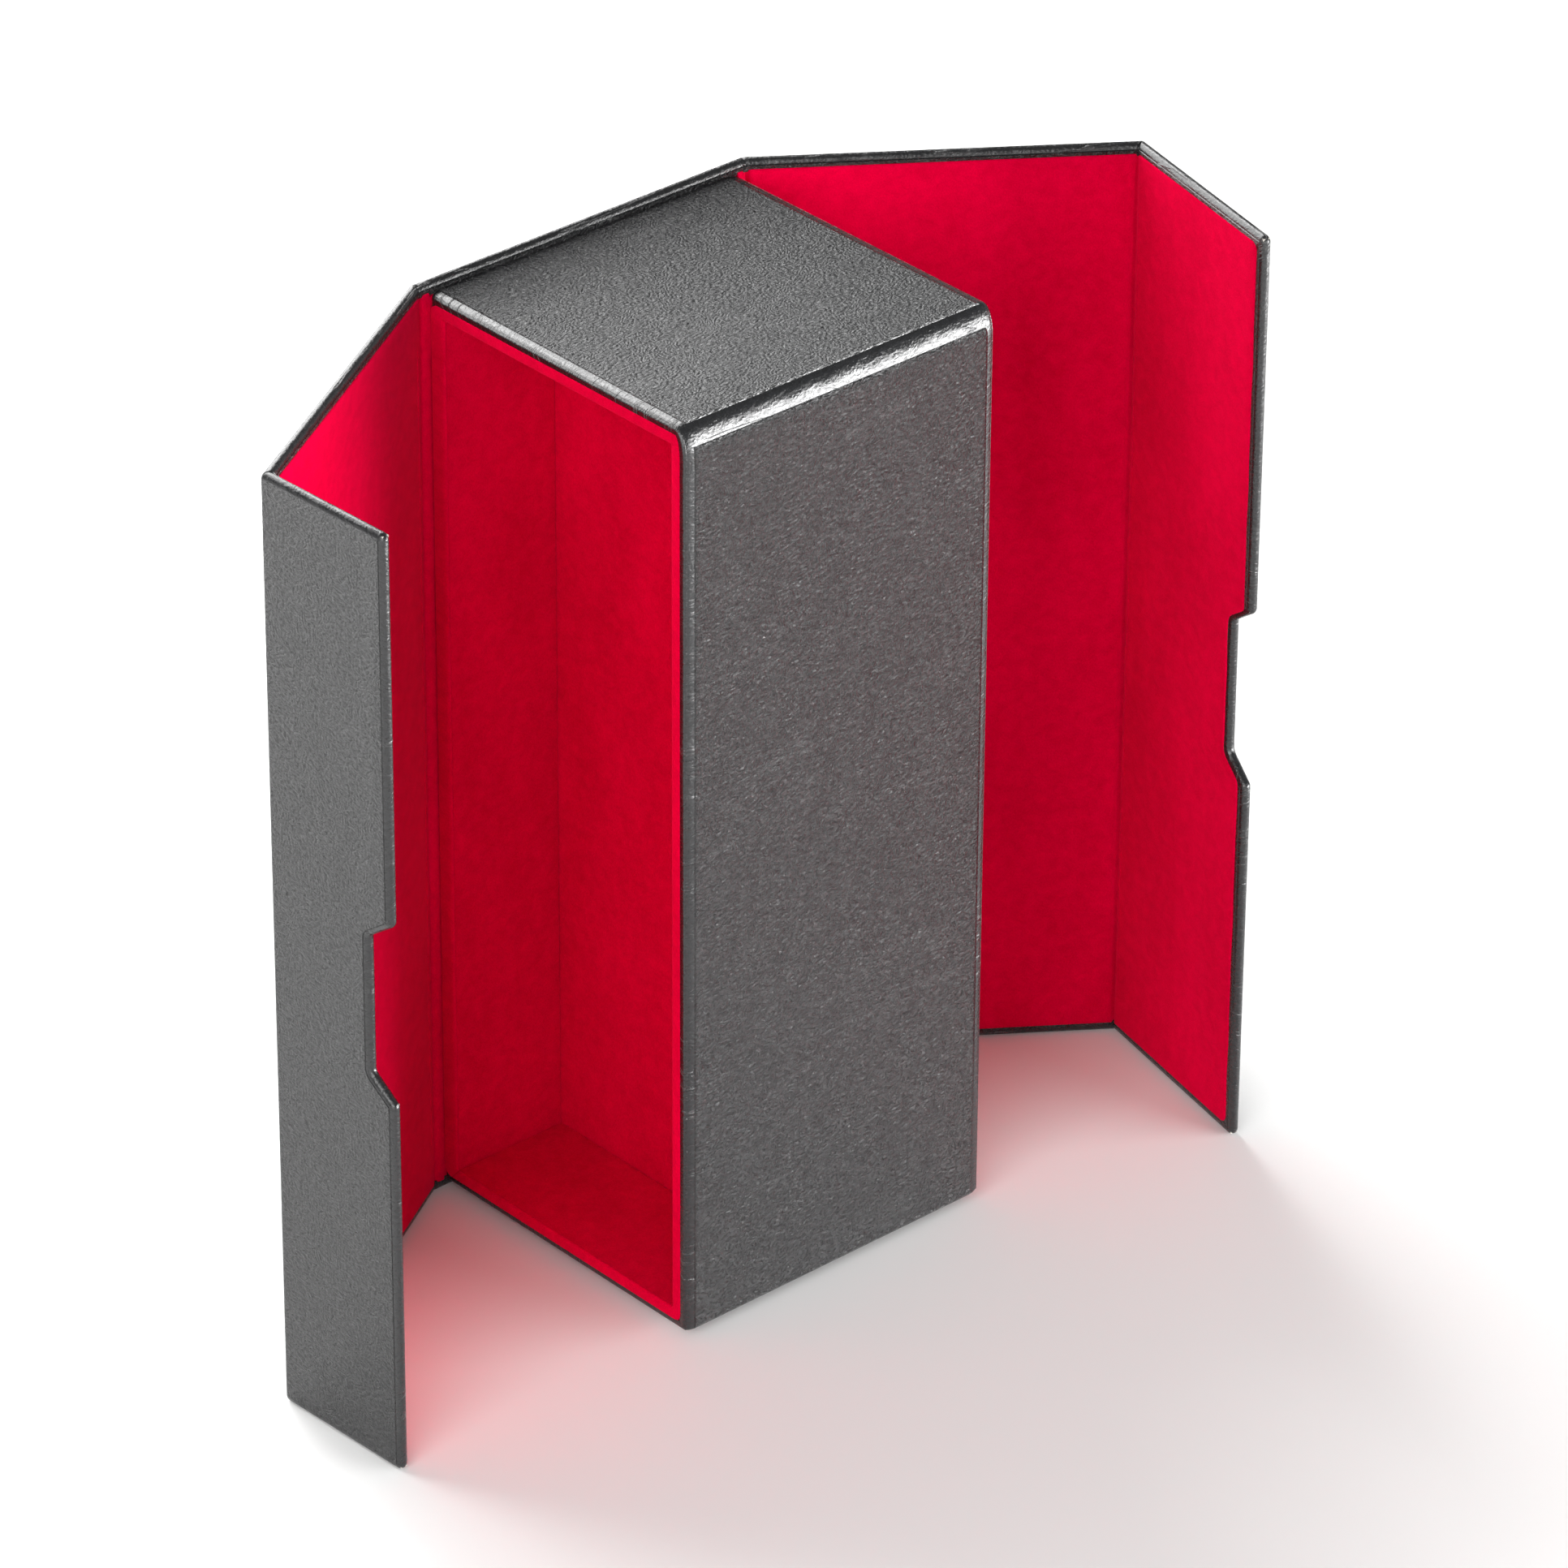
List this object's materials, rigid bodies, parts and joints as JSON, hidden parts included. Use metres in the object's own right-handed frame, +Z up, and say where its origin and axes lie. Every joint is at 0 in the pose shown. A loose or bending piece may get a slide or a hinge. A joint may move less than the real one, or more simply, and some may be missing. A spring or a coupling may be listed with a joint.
{
  "type": "hinged game case",
  "caption": "Tall upright leatherette case with side compartments inside a wrap-around hinged cover whose flaps close across the front.",
  "frame": {"origin": "middle of the spine panel's bottom edge, on the table", "axes": "+Z up along the folds, +X along the spine towards the right opening, -Y from the spine towards the case's front"},
  "size_m": [0.2335, 0.1005, 0.22],
  "materials": {
    "leatherette": "fine pebble grain, semi-gloss",
    "velvet": "short crimson pile",
    "greyboard": "matt",
    "magnet": "nickel plated"
  },
  "bodies": {
    "case": {"case_top_board": "greyboard", "case_bottom_board": "greyboard", "case_front_board": "greyboard", "case_back_board": "greyboard", "partition_board": "greyboard", "case_leather": "leatherette", "front_magnets": "magnet", "left_lining_back": "velvet", "left_lining_front": "velvet", "left_lining_floor": "velvet", "left_lining_ceiling": "velvet", "left_lining_partition": "velvet", "right_lining_back": "velvet", "right_lining_front": "velvet", "right_lining_floor": "velvet", "right_lining_ceiling": "velvet", "right_lining_partition": "velvet", "left_rim_lining": "velvet", "right_rim_lining": "velvet", "spine_board": "greyboard", "spine_leather": "leatherette", "spine_lining": "velvet"},
    "left_side": {"left_side_board": "greyboard", "left_side_leather": "leatherette", "left_side_lining": "velvet"},
    "left_flap": {"left_flap_board": "greyboard", "left_flap_leather": "leatherette", "left_flap_lining": "velvet", "left_flap_magnets": "magnet"},
    "right_side": {"right_side_board": "greyboard", "right_side_leather": "leatherette", "right_side_lining": "velvet"},
    "right_flap": {"right_flap_board": "greyboard", "right_flap_leather": "leatherette", "right_flap_lining": "velvet", "right_flap_magnets": "magnet"}
  },
  "joints": [
    {"name": "left_side_hinge", "type": "hinge", "parent": "case", "child": "left_side", "pos_m": [-0.0451, 0.0013, 0.11], "axis": [0, 0, 1], "range_deg": [-30.6, 59.4]},
    {"name": "left_flap_hinge", "type": "hinge", "parent": "left_side", "child": "left_flap", "pos_m": [-0.11887, -0.04233, 0.11], "axis": [0, 0, 1], "range_deg": [-61.6, 28.4]},
    {"name": "right_side_hinge", "type": "hinge", "parent": "case", "child": "right_side", "pos_m": [0.0451, 0.0013, 0.11], "axis": [0, 0, 1], "range_deg": [-54.2, 35.8]},
    {"name": "right_flap_hinge", "type": "hinge", "parent": "right_side", "child": "right_flap", "pos_m": [0.11461, -0.04883, 0.11], "axis": [0, 0, 1], "range_deg": [-23, 67]}
  ]
}
